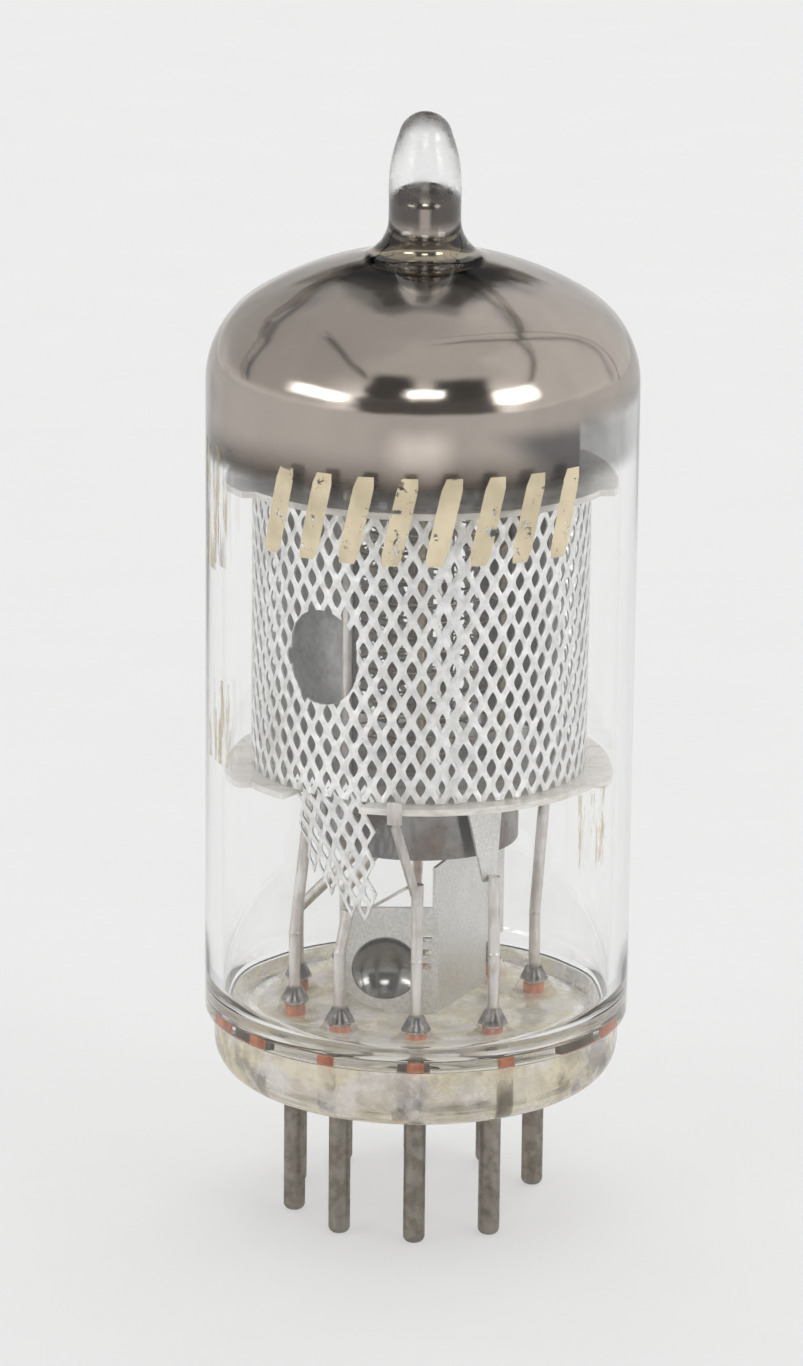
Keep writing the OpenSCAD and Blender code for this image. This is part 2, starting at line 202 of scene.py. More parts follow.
class TubeStageSettings(PropertyGroup):
    floor_colour: colour("Floor", "Colour of the floor", (0.36, 0.36, 0.36))
    floor_glow: share("Floor glow", "Light the floor gives off itself", 0.45)
    sky: share("Tent light", "Strength of the light tent", 1.75, 10.0)
    overhead: share("Overhead light", "Power of the overhead soft light", 5.5, 100.0)
    distance: length("Camera distance", "Distance from the camera to its target", 0.25)
    elevation: angle("Camera elevation", "Camera angle above the floor", 15.45)
    roll: angle("Camera roll", "Camera roll", 0.6)
    lens: FloatProperty(name="Lens", description="Focal length in millimetres", default=141.89)


# ---------------------------------------------------------------- mesh helpers


def arc(centre_r, centre_z, radius, start, end, count):
    """Points (r, z) on an arc, angles in radians from the +r axis."""
    points = []
    for i in range(count + 1):
        a = start + (end - start) * i / count
        points.append((centre_r + radius * math.cos(a), centre_z + radius * math.sin(a)))
    return points


def new_piece(name, verts, faces, slots=None, sharp=35.0):
    """Mesh object with smooth faces and sharp corners, and one material index per face if slots is given."""
    mesh = bpy.data.meshes.new(name)
    mesh.from_pydata([tuple(v) for v in verts], [], faces)
    mesh.validate()
    if slots:
        mesh.polygons.foreach_set("material_index", slots)
    mesh.polygons.foreach_set("use_smooth", [True] * len(mesh.polygons))
    mesh.set_sharp_from_angle(angle=math.radians(sharp))
    piece = bpy.data.objects.new(name, mesh)
    bpy.context.scene.collection.objects.link(piece)
    return piece


def settle(piece, materials, slot, *nodes):
    """The piece gets its materials, rides on the tube and stands for its nodes; slot is not used."""
    for material in materials:
        piece.data.materials.append(material)
    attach(piece, "root")
    if nodes:
        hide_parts(*nodes)


def revolve(profile, turns, joins=()):
    """Vertices, faces and slots of an outline turned round the Z axis. Faces on the joins get slot 1."""
    verts, faces, slots, rings = [], [], [], []
    for r, z in profile:
        if r < 1e-7:
            rings.append([len(verts)])
            verts.append(Vector((0, 0, z)))
        else:
            rings.append(list(range(len(verts), len(verts) + turns)))
            verts.extend(around(r, 360 * k / turns, z) for k in range(turns))
    for i in range(len(rings) - 1):
        a, b = rings[i], rings[i + 1]
        slot = 1 if i in joins else 0
        for k in range(turns):
            n = (k + 1) % turns
            if len(a) == 1 and len(b) == 1:
                continue
            if len(a) == 1:
                faces.append((a[0], b[n], b[k]))
            elif len(b) == 1:
                faces.append((a[k], a[n], b[0]))
            else:
                faces.append((a[k], a[n], b[n], b[k]))
            slots.append(slot)
    return verts, faces, slots


def turn_outwards(piece):
    bm = bmesh.new()
    bm.from_mesh(piece.data)
    bmesh.ops.recalc_face_normals(bm, faces=bm.faces)
    bm.to_mesh(piece.data)
    bm.free()


def dome_shape(glass):
    """Radius and centre height of the crown, the angle where it meets the shoulder, the shoulder's centre."""
    shoulder_x = BULB_R - glass.shoulder
    dome_top = TOP - glass.tip_height
    straight_top = dome_top - glass.dome_height
    crown = (shoulder_x**2 + glass.dome_height**2 - glass.shoulder**2) / (
        2 * (glass.dome_height - glass.shoulder)
    )
    crown_z = dome_top - crown
    meet = math.atan2(straight_top - crown_z, shoulder_x)
    return crown, crown_z, meet, shoulder_x, straight_top


def inner_outline(glass, inset, bottom):
    """Inside of the bulb, inset from the outer surface, from the bore's end down to a height."""
    crown, crown_z, meet, shoulder_x, straight_top = dome_shape(glass)
    bore = glass.tip_bore - (inset - glass.wall)
    end = BORE_TOP - (inset - glass.wall)
    mouth = glass.mouth_fillet
    crown_r = crown - inset
    reach = bore + mouth
    mouth_z = crown_z + math.sqrt((crown_r + mouth) ** 2 - reach**2)
    lean = math.atan2(mouth_z - crown_z, reach)
    points = [(0.0, end)]
    points += arc(0, end - bore, bore, math.radians(80), 0, 8)
    points += arc(reach, mouth_z, mouth, math.pi, math.pi + lean, 6)
    points += arc(0, crown_z, crown_r, lean, meet, 26)[1:]
    points += arc(shoulder_x, straight_top, glass.shoulder - inset, meet, 0, 18)[1:]
    points += [(BULB_R - inset, straight_top + (bottom - straight_top) * i / 12) for i in range(1, 13)]
    return points


def outer_outline(glass):
    """Outside of the bulb and its exhaust tip, from the tip down to the lip."""
    crown, crown_z, meet, shoulder_x, straight_top = dome_shape(glass)
    cone_z = TOP - glass.tip_cone
    cap = glass.tip_radius - mm(0.42)
    slope = math.radians(11)
    points = arc(0, TOP - cap, cap, math.pi / 2, slope, 12)
    points[0] = (0.0, TOP)
    start = points[-1]
    for i in range(1, 7):
        t = i / 6
        blend = t * (2 - t)
        points.append((start[0] + (glass.tip_radius - start[0]) * blend, start[1] + (cone_z - start[1]) * t))
    fillet = glass.neck_fillet
    reach = glass.tip_radius + fillet
    fillet_z = crown_z + math.sqrt((crown + fillet) ** 2 - reach**2)
    lean = math.atan2(fillet_z - crown_z, reach)
    points += arc(reach, fillet_z, fillet, math.pi, math.pi + lean, 12)
    points += arc(0, crown_z, crown, lean, meet, 26)[1:]
    points += arc(shoulder_x, straight_top, glass.shoulder, meet, 0, 18)[1:]
    lip_z = FLOOR + glass.lip
    lip_r = glass.lip / 2
    points += [(BULB_R, straight_top + (lip_z - straight_top) * i / 14) for i in range(1, 15)]
    for i in range(1, 6):
        turn = math.pi / 2 * i / 5
        points.append((BULB_R - lip_r * (1 - math.cos(turn)), lip_z - glass.lip * math.sin(turn)))
    return points


def foot_radius(glass):
    """Radius of the circle where the fillet inside the bulb's foot meets the button."""
    return PIN_CIRCLE + glass.bead_radius + mm(0.05)


def bead_height(glass, x, y):
    """Height of the glass above the button's floor: a bead round each lead."""
    rise = 0.0
    for n in range(1, PINS + 1):
        p = around(PIN_CIRCLE, pin_degrees(n))
        d = math.hypot(x - p.x, y - p.y) / glass.bead_radius
        if d < 1:
            rise = max(rise, bead_bell(d))
    return rise * (BEAD_TOP - FLOOR)


def bead_bell(d):
    """Height of a bead, as a share of its full height, at a share of its radius."""
    shape = 1 - d
    return shape**1.7 * (1 + 1.1 * d)


def bead_films(glass):
    """Closed skins on the upper part of the nine beads."""
    parts = []
    for n in range(1, PINS + 1):
        middle = around(PIN_CIRCLE, pin_degrees(n))
        outline = []
        for k in range(7):
            d = 0.27 + 0.27 * k / 6
            outline.append((glass.bead_radius * d, FLOOR + (BEAD_TOP - FLOOR) * bead_bell(d)))
        loop = [(r + SKIN, z + SKIN) for r, z in outline] + list(reversed(outline))
        verts, faces, _ = revolve(loop + loop[:1], 28)
        parts.append(([v + middle for v in verts], faces))
    return joined(parts)


def meniscus(x, y):
    """How far the glass creeps down a pin below the button."""
    drop = 0.0
    for n in range(1, PINS + 1):
        p = around(PIN_CIRCLE, pin_degrees(n))
        d = (math.hypot(x - p.x, y - p.y) - PIN_R * 0.9) / CREEP_WIDTH
        if d < 1:
            drop = max(drop, (1 - max(d, 0)) ** 2.2)
    return drop * CREEP_DEPTH


# ---------------------------------------------------------------- shader helpers


class Shader:
    """Adds and links the nodes of a material or a node group."""

    def __init__(self, tree):
        self.nodes = tree.nodes
        self.links = tree.links
        self.surface = None

    def add(self, kind, **values):
        node = self.nodes.new(kind)
        for name, value in values.items():
            setattr(node, name, value)
        return node

    def plug(self, source, socket):
        """Links an output to a socket, or sets the socket to a value. A colour is (red, green, blue)."""
        if isinstance(source, bpy.types.NodeSocket):
            self.links.new(source, socket)
        elif socket.type == "RGBA":
            socket.default_value = (*source, 1.0)
        else:
            socket.default_value = source

    def feed(self, name, source):
        """Links an output to a socket of the material's surface shader, or sets the socket to a value."""
        self.plug(source, self.surface.inputs[name])

    def times(self, *sources, clamp=False):
        """Product of two or more values, such as masks."""
        product = sources[0]
        for source in sources[1:]:
            product = self.math("MULTIPLY", product, source, clamp=clamp)
        return product

    def math(self, operation, *sources, clamp=False):
        node = self.add("ShaderNodeMath", operation=operation, use_clamp=clamp)
        for i, source in enumerate(sources):
            self.plug(source, node.inputs[i])
        return node.outputs[0]

    def smooth(self, value, start, end, out_low=0.0, out_high=1.0):
        node = self.add("ShaderNodeMapRange", interpolation_type="SMOOTHSTEP")
        for i, source in enumerate((value, start, end, out_low, out_high)):
            self.plug(source, node.inputs[i])
        return node.outputs[0]

    def mix(self, factor, a, b, blend="MIX"):
        node = self.add("ShaderNodeMix", data_type="RGBA", blend_type=blend)
        self.plug(factor, node.inputs[0])
        self.plug(a, node.inputs[6])
        self.plug(b, node.inputs[7])
        return node.outputs[2]

    def noise(self, vector, scale, detail=3.0, roughness=0.55):
        node = self.add("ShaderNodeTexNoise")
        self.plug(vector, node.inputs["Vector"])
        self.plug(scale, node.inputs["Scale"])
        self.plug(detail, node.inputs["Detail"])
        self.plug(roughness, node.inputs["Roughness"])
        return node.outputs[0]

    def stretch(self, vector, scale):
        node = self.add("ShaderNodeVectorMath", operation="MULTIPLY")
        self.plug(vector, node.inputs[0])
        self.plug(scale, node.inputs[1])
        return node.outputs[0]

    def place(self):
        """Position on the tube, in metres."""
        return self.add("ShaderNodeTexCoord").outputs["Object"]

    def split(self, vector):
        node = self.add("ShaderNodeSeparateXYZ")
        self.plug(vector, node.inputs[0])
        return node.outputs

    def degrees(self, axes):
        """Angle round the tube from the front, in degrees."""
        turn = self.math("ARCTAN2", axes[0], self.math("MULTIPLY", axes[1], -1.0))
        return self.math("MULTIPLY", turn, 180 / math.pi)

    def bump(self, height, strength, distance):
        node = self.add("ShaderNodeBump")
        self.plug(height, node.inputs["Height"])
        node.inputs["Strength"].default_value = strength
        node.inputs["Distance"].default_value = distance
        return node.outputs[0]


def new_group(name, inputs, outputs):
    """Empty shader node group with its sockets; returns the group, its helper and its two ends."""
    group = bpy.data.node_groups.new(name, "ShaderNodeTree")
    for label, kind, default in inputs:
        socket = group.interface.new_socket(name=label, in_out="INPUT", socket_type=kind)
        socket.default_value = default
    for label, kind in outputs:
        group.interface.new_socket(name=label, in_out="OUTPUT", socket_type=kind)
    shader = Shader(group)
    return group, shader, shader.add("NodeGroupInput").outputs, shader.add("NodeGroupOutput").inputs


def metal_film_group():
    """Uneven oxide on drawn or rolled metal: colour, roughness and height."""
    name = "Oxide on metal"
    if name in bpy.data.node_groups:
        return bpy.data.node_groups[name]
    group, s, given, out = new_group(
        name,
        [
            ("Metal", "NodeSocketColor", (0.7, 0.7, 0.7, 1)),
            ("Oxide", "NodeSocketColor", (0.3, 0.25, 0.2, 1)),
            ("Amount", "NodeSocketFloat", 0.4),
            ("Patch Scale", "NodeSocketFloat", 900.0),
            ("Grain", "NodeSocketVector", (6000.0, 6000.0, 600.0)),
            ("Gloss", "NodeSocketFloat", 0.3),
        ],
        [("Color", "NodeSocketColor"), ("Roughness", "NodeSocketFloat"), ("Height", "NodeSocketFloat")],
    )
    place = s.place()
    patch = s.noise(place, given["Patch Scale"], 4.0)
    fine = s.noise(s.stretch(place, given["Grain"]), 1.0, 2.0)
    patchy = s.smooth(patch, 0.38, 0.68)
    amount = s.times(patchy, given["Amount"], clamp=True)
    toned = s.mix(amount, given["Metal"], given["Oxide"])
    shade = s.smooth(fine, 0.3, 0.7, 0.86, 1.06)
    s.plug(s.mix(1.0, toned, shade, "MULTIPLY"), out["Color"])
    rough = s.math("MULTIPLY_ADD", patchy, 0.14, given["Gloss"])
    s.plug(s.math("MULTIPLY_ADD", fine, 0.10, rough), out["Roughness"])
    s.plug(s.math("MULTIPLY_ADD", patch, 0.6, fine), out["Height"])
    return group


def worn_edge_group():
    """Mask of a printed or deposited film that is chipped and thin in places."""
    name = "Worn film"
    if name in bpy.data.node_groups:
        return bpy.data.node_groups[name]
    group, s, given, out = new_group(
        name,
        [
            ("Chip Scale", "NodeSocketFloat", 1500.0),
            ("Chips", "NodeSocketFloat", 0.35),
            ("Haze Scale", "NodeSocketFloat", 400.0),
        ],
        [("Mask", "NodeSocketFloat"), ("Haze", "NodeSocketFloat")],
    )
    place = s.place()
    chips = s.noise(place, given["Chip Scale"], 5.0, 0.65)
    edge = s.math("ADD", given["Chips"], 0.05)
    s.plug(s.smooth(chips, given["Chips"], edge), out["Mask"])
    s.plug(s.noise(place, given["Haze Scale"], 3.0), out["Haze"])
    return group


def new_material(name):
    """Material with a plain Principled shader as its surface; returns the material and its helper."""
    material = bpy.data.materials.new(name)
    material.use_nodes = True
    s = Shader(material.node_tree)
    s.nodes.clear()
    s.surface = s.add("ShaderNodeBsdfPrincipled")
    output = s.add("ShaderNodeOutputMaterial")
    s.links.new(s.surface.outputs[0], output.inputs[0])
    return material, s


def metal(name, base, oxide, amount, patch, grain, gloss, bump, metallic=1.0):
    """Metal with uneven oxide. amount and patch are its strength and scale, grain that of the fine lines."""
    material, s = new_material(name)
    group = s.add("ShaderNodeGroup", node_tree=metal_film_group())
    s.plug(base, group.inputs["Metal"])
    s.plug(oxide, group.inputs["Oxide"])
    s.plug(amount, group.inputs["Amount"])
    s.plug(patch, group.inputs["Patch Scale"])
    s.plug(grain, group.inputs["Grain"])
    s.plug(gloss, group.inputs["Gloss"])
    s.feed("Metallic", metallic)
    s.feed("Base Color", group.outputs["Color"])
    s.feed("Roughness", group.outputs["Roughness"])
    s.feed("Normal", s.bump(group.outputs["Height"], bump, mm(0.02)))
    return material


def glass(name, tint, ripple):
    """Clear rippled glass that lets light from the lamps straight through."""
    material, s = new_material(name)
    s.feed("Base Color", tint)
    s.feed("IOR", 1.5)
    s.feed("Transmission Weight", 1.0)
    height = s.noise(s.stretch(s.place(), (120, 120, 25)), 1.0, 2.0)
    s.feed("Normal", s.bump(height, ripple, mm(1.0)))
    clear = s.add("ShaderNodeBsdfTransparent")
    s.plug([c**0.5 for c in tint], clear.inputs[0])
    path = s.add("ShaderNodeLightPath")
    through = s.math("MAXIMUM", path.outputs["Is Shadow Ray"], path.outputs["Is Diffuse Ray"])
    mixer = s.add("ShaderNodeMixShader")
    s.links.new(through, mixer.inputs[0])
    s.links.new(s.surface.outputs[0], mixer.inputs[1])
    s.links.new(clear.outputs[0], mixer.inputs[2])
    s.links.new(mixer.outputs[0], s.nodes["Material Output"].inputs[0])
    return material, s


def bulb_glass_material(settings):
    """Clear glass, crazed at the sealed tip."""
    material, s = glass("Bulb glass", settings.bulb_tint, 0.04)
    place = s.place()
    tip = s.smooth(s.split(place)[2], TOP - mm(4.6), TOP - mm(3.6))
    crazed = s.smooth(s.noise(place, 1500.0, 4.0), 0.35, 0.65, 0.12, 0.42)
    s.feed("Roughness", s.times(tip, crazed))
    return material


def base_glass_material(settings):
    """Rippled glass with cloudy stains."""
    material, s = glass("Base glass", settings.base_tint, 0.25)
    place = s.place()
    cloudy = s.smooth(s.noise(place, 520.0, 4.0, 0.6), 0.40, 0.62)
    s.feed("Base Color", s.mix(cloudy, settings.base_tint, settings.base_stain))
    dull = s.smooth(s.noise(place, 900.0, 3.0), 0.4, 0.65)
    s.feed("Roughness", s.math("MULTIPLY_ADD", dull, 0.16, 0.05))
    return material


def fused_glass():
    """The join where bulb and button are one glass, so nothing shows there."""
    name = "Fused glass join"
    if name in bpy.data.materials:
        return bpy.data.materials[name]
    material, s = new_material(name)
    s.feed("Alpha", 0.0)
    s.feed("Base Color", (1, 1, 1))
    return material


def mirror_cover(s, mirror, turn, height, solid):
    """How much of the glass the film covers: broken along its edge, and thinned past the cut on the right."""
    speckle = s.math("SUBTRACT", s.noise(s.place(), 1600.0, 4.0), 0.5)
    film = s.math("MULTIPLY_ADD", speckle, 0.25, solid, clamp=True)
    past_cut = s.smooth(turn, mirror.cut_degrees, mirror.cut_degrees + 1.2)
    before_end = s.smooth(turn, 100.0, 150.0, 1.0, 0.0)
    below = s.smooth(height, mirror.cut_top - mm(0.5), mirror.cut_top + mm(0.9), 1.0, 0.0)
    fading = s.smooth(turn, mirror.cut_degrees, mirror.cut_degrees + 34.0, 0.55, 0.90)
    left = s.math("SUBTRACT", 1.0, s.times(past_cut, before_end, below, fading))
    return s.times(film, left, s.smooth(solid, 0.0, 0.08), clamp=True)


def mirror_tone(s, mirror, turn, axes, whole):
    """Colour of the film: silver, browner at its edge, with a painted bright streak down its front and the
    neck's front, and painted dark reflections and shade on the crown's front, on the neck and by the cut.
    """
    height = axes[2]
    tone = s.mix(whole, mirror.brown, mirror.silver)
    root = s.times(
        s.smooth(height, CROWN - mm(1.1), CROWN - mm(0.6)),
        s.smooth(height, CROWN + mm(0.5), CROWN),
    )
    tone = s.mix(s.times(root, 0.75), tone, (0.36, 0.30, 0.20))
    # painted reflection: a brighter streak down the front of the film, below the cut's top, standing for a
    # bright part of the floor mirrored there
    band = s.smooth(height, mirror.cut_top + mm(0.4), mirror.cut_top - mm(0.8))
    middle = s.smooth(s.math("ABSOLUTE", s.math("ADD", turn, 1.0)), 2.0, 12.0, 1.0, 0.0)
    painted_streak = s.math("MULTIPLY_ADD", s.times(band, middle), 0.75, 1.0)
    tone = s.mix(1.0, tone, painted_streak, "MULTIPLY")
    # painted dark reflection: the front of the crown just below the neck is darkened where it would mirror
    # the dark opening behind the tube
    across = s.math("SQRT", s.math("ADD", s.times(axes[0], axes[0]), s.times(axes[1], axes[1])))
    crown = s.times(
        s.smooth(across, mm(4.6), mm(3.5)),
        s.smooth(axes[1], mm(-0.3), mm(-1.4)),
        s.smooth(height, CROWN - mm(0.5), CROWN - mm(0.9)),
    )
    tone = s.mix(s.times(crown, 0.75), tone, (0.10, 0.09, 0.085))
    # painted shade: a dark strip beside the cut on the right, slanting with height
    slope = s.times(s.math("SUBTRACT", height, FILM_LOW), 7000.0)
    painted_cut_shade = s.times(
        s.smooth(s.math("ADD", turn, slope), mirror.cut_degrees - 12, mirror.cut_degrees + 4),
        s.smooth(height, mirror.cut_top + mm(0.2), mirror.cut_top - mm(0.9)),
    )
    tone = s.mix(s.times(painted_cut_shade, 0.8), tone, (0.07, 0.07, 0.074))
    # painted reflection on the neck: dark all round, with a painted bright reflection down its front
    front = s.smooth(s.math("ABSOLUTE", turn), 5.0, 16.0, 1.0, 0.0)
    painted_neck_tone = s.mix(front, (0.075, 0.062, 0.055), (0.40, 0.35, 0.31))
    neck = s.smooth(height, CROWN + mm(0.6), CROWN + mm(1.5))
    tone = s.mix(s.times(neck, 0.94), tone, painted_neck_tone)
    tarnish = s.smooth(s.noise(s.stretch(s.place(), (160, 160, 60)), 1.0, 3.0), 0.35, 0.75, 1.0, 0.82)
    return s.mix(1.0, tone, tarnish, "MULTIPLY")


def getter_mirror_material(mirror):
    """Evaporated mirror: bright inside, brown and thin along its lower edge, cut off on the right."""
    material, s = new_material("Getter mirror")
    place = s.place()
    axes = s.split(place)
    turn = s.degrees(axes)
    edge = s.math("MULTIPLY_ADD", s.noise(place, 130.0, 2.0), mm(0.9), FILM_LOW - mm(0.40))
    rise = s.math("SUBTRACT", axes[2], edge)
    whole = s.smooth(rise, mm(0.2), mm(2.4))
    s.feed("Alpha", mirror_cover(s, mirror, turn, axes[2], s.smooth(rise, 0.0, mirror.fade)))
    s.feed("Base Color", mirror_tone(s, mirror, turn, axes, whole))
    s.feed("Metallic", 1.0)
    s.feed("Roughness", s.smooth(whole, 0.0, 1.0, 0.34, 0.10))
    s.feed("Normal", s.bump(s.noise(place, 220.0, 2.0), 0.12, mm(0.5)))
    return material


def ink_material(mark):
    """Printed ink on the glass, chipped and rubbed thin."""
    material, s = new_material("Yellow ink")
    worn = s.add("ShaderNodeGroup", node_tree=worn_edge_group())
    s.plug(1400.0, worn.inputs["Chip Scale"])
    s.plug(0.36, worn.inputs["Chips"])
    s.plug(420.0, worn.inputs["Haze Scale"])
    pale = [min(1.0, c * 1.25 + 0.08) for c in mark.ink]
    haze = s.smooth(worn.outputs["Haze"], 0.3, 0.7)
    s.feed("Base Color", s.mix(haze, mark.ink, pale))
    s.feed("Alpha", s.times(worn.outputs["Mask"], 0.84))
    s.feed("Roughness", s.smooth(worn.outputs["Haze"], 0.2, 0.8, 0.5, 0.75))
    s.feed("Normal", s.bump(worn.outputs["Haze"], 0.2, mm(0.02)))
    return material


def smear_material(mark):
    """Thin yellowed smears of old ink."""
    material, s = new_material("Ink smear")
    place = s.place()
    streak = s.noise(s.stretch(place, (2600, 2600, 330)), 1.0, 4.0, 0.6)
    s.feed("Base Color", s.mix(s.noise(place, 700.0), mark.ink, (0.55, 0.46, 0.30)))
    s.feed("Alpha", s.smooth(streak, 0.48, 0.66, 0.0, 0.55))
    s.feed("Roughness", s.smooth(streak, 0.3, 0.7, 0.5, 0.8))
    return material


def deposit_material(glass):
    """Cloudy olive and whitish deposit on the base glass."""
    material, s = new_material("Glass deposit")
    place = s.place()
    cloud = s.noise(place, 620.0, 4.0, 0.6)
    hue = s.noise(place, 410.0, 3.0)
    tone = s.mix(s.smooth(hue, 0.42, 0.62), glass.base_stain, (0.80, 0.76, 0.74))
    s.feed("Base Color", tone)
    rim = s.smooth(s.split(place)[2], FLOOR - mm(1.6), FLOOR - mm(0.3), 0.0, 0.25)
    s.feed("Alpha", s.math("ADD", s.smooth(cloud, 0.35, 0.68, 0.05, 0.60), rim))
    s.feed("Roughness", s.smooth(cloud, 0.3, 0.7, 0.35, 0.6))
    s.feed("Normal", s.bump(cloud, 0.3, mm(0.03)))
    return material


def bead_film_material():
    """Dark silvery film on the glass beads, thinner lower down."""
    material, s = new_material("Bead film")
    place = s.place()
    fleck = s.noise(place, 1500.0, 4.0)
    s.feed("Base Color", s.mix(s.smooth(fleck, 0.35, 0.65), (0.13, 0.12, 0.115), (0.34, 0.32, 0.30)))
    s.feed("Metallic", 1.0)
    s.feed("Roughness", s.smooth(fleck, 0.3, 0.7, 0.10, 0.30))
    high_up = s.smooth(s.split(place)[2], FLOOR + mm(0.75), FLOOR + mm(1.1), 0.25, 0.9)
    s.feed("Alpha", s.times(high_up, s.smooth(fleck, 0.2, 0.5, 0.6, 1.0)))
    return material


def mica_material():
    """Pale mica with cloudy flakes and a brownish cast."""
    material, s = new_material("Mica")
    place = s.place()
    flake = s.noise(s.stretch(place, (700, 700, 2500)), 1.0, 4.0, 0.6)
    tone = s.mix(s.smooth(flake, 0.3, 0.7), (0.80, 0.74, 0.68), (0.90, 0.87, 0.84))
    s.feed("Base Color", tone)
    s.feed("Roughness", s.smooth(flake, 0.3, 0.7, 0.25, 0.45))
    s.feed("Alpha", s.smooth(flake, 0.3, 0.75, 0.62, 0.86))
    s.feed("Coat Weight", 0.3)
    s.feed("Normal", s.bump(flake, 0.25, mm(0.03)))
    return material


def cathode_material():
    """Chalky white coating."""
    material, s = new_material("Cathode coating")
    place = s.place()
    grain = s.noise(place, 5200.0, 4.0)
    s.feed("Base Color", s.mix(s.smooth(grain, 0.3, 0.7), (0.72, 0.70, 0.66), (0.86, 0.85, 0.82)))
    s.feed("Roughness", s.smooth(grain, 0.3, 0.7, 0.75, 0.92))
    s.feed("Normal", s.bump(grain, 0.5, mm(0.02)))
    return material


def mesh_material(screen):
    return metal(
        "Expanded mesh metal", screen.metal, oxide=(0.62, 0.60, 0.58), amount=0.3, patch=1100.0,
        grain=(2600, 2600, 2600), gloss=0.24, bump=0.25, metallic=0.85,
    )


def shield_material():
    """Glossy dark sheet with brown heat tints."""
    return metal(
        "Tinted dark sheet", base=(0.27, 0.265, 0.26), oxide=(0.15, 0.10, 0.075), amount=0.8, patch=520.0,
        grain=(2500, 2500, 2500), gloss=0.14, bump=0.12,
    )


def bright_sheet(name, gloss):
    return metal(
        name, base=(0.76, 0.75, 0.735), oxide=(0.69, 0.67, 0.65), amount=0.3, patch=420.0,
        grain=(9000, 9000, 9000), gloss=gloss, bump=0.02,
    )


def base_screen_material():
    """Bright sheet whose dished cup is darkened with painted shade."""
    material = bright_sheet("Bright sheet with dark cup", 0.36)
    s = Shader(material.node_tree)
    s.surface = s.nodes["Principled BSDF"]
    bright, dull = (s.surface.inputs[name].links[0].from_socket for name in ("Base Color", "Roughness"))
    cup_r, cup_depth = mm(1.5), mm(0.6)
    dish_r = (cup_r**2 + cup_depth**2) / (2 * cup_depth)
    corner = low("base_screen")
    dish_centre = (corner.x + mm(2.05), corner.y + cup_depth - dish_r, FLOOR + mm(2.35))
    away = s.add("ShaderNodeVectorMath", operation="DISTANCE")
    s.plug(s.place(), away.inputs[0])
    s.plug(dish_centre, away.inputs[1])
    # painted shade: the colour is darkened inside the dished cup's hollow, which is also made glossier
    inside = s.smooth(away.outputs["Value"], dish_r + mm(0.02), dish_r + mm(0.06), 0.94, 0.0)
    s.feed("Base Color", s.mix(inside, bright, (0.17, 0.16, 0.15)))
    s.feed("Roughness", s.times(dull, s.math("MULTIPLY_ADD", inside, -0.75, 1.0)))
    return material


# the finish of each material slot of the record, and of the two nodes that have their own
FINISHES = {
    "pin_metal": lambda: metal(
        "Pin metal", base=(0.30, 0.275, 0.24), oxide=(0.17, 0.145, 0.115), amount=0.6, patch=1800.0,
        grain=(2500, 2500, 500), gloss=0.36, bump=0.3,
    ),
    "dumet": lambda: metal(
        "Copper seal wire", base=(0.80, 0.33, 0.20), oxide=(0.45, 0.14, 0.09), amount=0.6, patch=1300.0,
        grain=(4000, 4000, 900), gloss=0.35, bump=0.2, metallic=0.6,
    ),
    "nickel": lambda: metal(
        "Nickel wire", base=(0.74, 0.70, 0.67), oxide=(0.52, 0.45, 0.41), amount=0.55, patch=900.0,
        grain=(6000, 6000, 500), gloss=0.30, bump=0.2,
    ),
    "getter_steel": lambda: metal(
        "Getter steel", base=(0.34, 0.33, 0.33), oxide=(0.14, 0.12, 0.11), amount=0.6, patch=900.0,
        grain=(3000, 3000, 3000), gloss=0.42, bump=0.3,
    ),
    "mica": mica_material,
    "screen_sheet": lambda: bright_sheet("Bright sheet", 0.40),
    "dark_sheet": lambda: metal(
        "Blackened sheet", base=(0.42, 0.415, 0.41), oxide=(0.28, 0.27, 0.26), amount=0.5, patch=700.0,
        grain=(3500, 3500, 3500), gloss=0.42, bump=0.3, metallic=0.8,
    ),
    "cathode_coat": cathode_material,
    "grid_wire": lambda: metal(
        "Grid wire", base=(0.66, 0.60, 0.50), oxide=(0.45, 0.36, 0.25), amount=0.5, patch=1200.0,
        grain=(5000, 5000, 900), gloss=0.30, bump=0.1,
    ),
}
OWN_FINISHES = {"lower_shield": shield_material, "base_screen": base_screen_material}


# ---------------------------------------------------------------- pieces


class TUBE_OT_bulb(Operator):
    """Build the bulb glass with its exhaust tip"""

    bl_idname = "tube.bulb"
    bl_label = "Bulb glass"

    def execute(self, context):
        settings = context.scene.tube_glass
        outer = outer_outline(settings)
        foot = foot_radius(settings)
        fillet = BULB_R - settings.wall - foot
        inner = inner_outline(settings, settings.wall, FLOOR + fillet)
        inner += arc(foot, FLOOR + fillet, fillet, 0, -math.pi / 2, 12)[1:]
        profile = outer + [(BUTTON_R, FLOOR)]
        join = len(profile) - 1
        profile += list(reversed(inner))
        verts, faces, slots = revolve(profile, settings.turns, (join,))
        bulb = new_piece("bulb_glass", verts, faces, slots)
        turn_outwards(bulb)
        materials = (bulb_glass_material(settings), fused_glass())
        settle(bulb, materials, "bulb_glass", "glass_envelope", "exhaust_tip")
        return {"FINISHED"}


